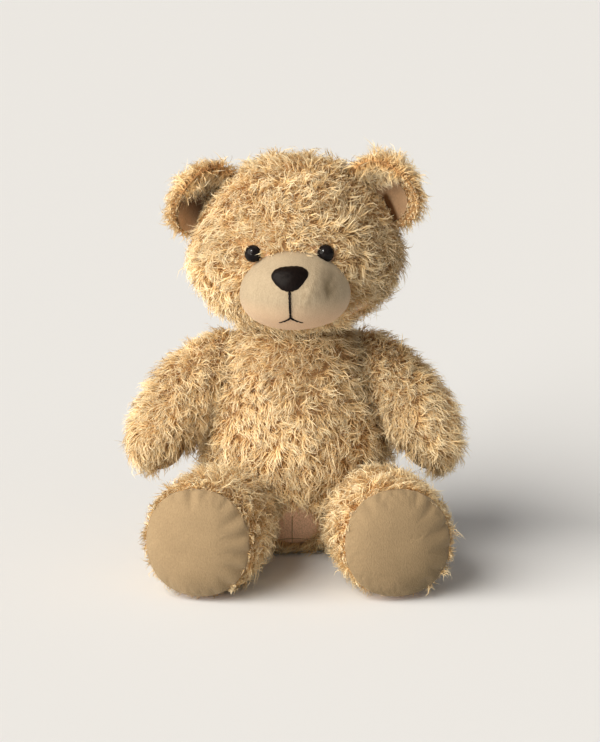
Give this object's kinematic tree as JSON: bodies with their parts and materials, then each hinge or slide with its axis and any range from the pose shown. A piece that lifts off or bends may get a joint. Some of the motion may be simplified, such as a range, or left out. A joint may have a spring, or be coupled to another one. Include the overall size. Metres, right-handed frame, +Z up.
{
  "type": "teddy bear",
  "caption": "Worn long-pile teddy bear sitting with its legs out, with a velour muzzle, soles, palms and ear linings, glossy eyes and a stitched nose.",
  "frame": {"origin": "the point under the body's seat, on the surface that the bear sits on", "axes": "+Z up; the bear looks along -Y; +X is the bear's own left"},
  "size_m": [0.2289, 0.1883, 0.2695],
  "materials": {
    "plush": "long golden pile, threadbare in patches",
    "velour": "short tan velour",
    "lining": "short brown velour",
    "stuffing": "loose polyester fibre",
    "thread": "satin stitch embroidery",
    "eye_plastic": "polished black",
    "washer_plastic": "moulded white"
  },
  "bodies": {
    "root": {"head_skin": "plush", "ear_back_left": "plush", "ear_back_right": "plush", "body_skin": "plush", "arm_skin_left": "plush", "arm_skin_right": "plush", "leg_skin_left": "plush", "leg_skin_right": "plush", "muzzle_cover": "velour", "sole_left": "velour", "sole_right": "velour", "paw_pad_left": "velour", "paw_pad_right": "velour", "ear_lining_left": "lining", "ear_lining_right": "lining", "head_filling": "stuffing", "muzzle_filling": "stuffing", "body_filling": "stuffing", "arm_filling_left": "stuffing", "arm_filling_right": "stuffing", "leg_filling_left": "stuffing", "leg_filling_right": "stuffing", "nose": "thread", "mouth_stitch": "thread", "eye_left": "eye_plastic", "eye_right": "eye_plastic", "eye_washer_left": "washer_plastic", "eye_washer_right": "washer_plastic"}
  },
  "joints": []
}
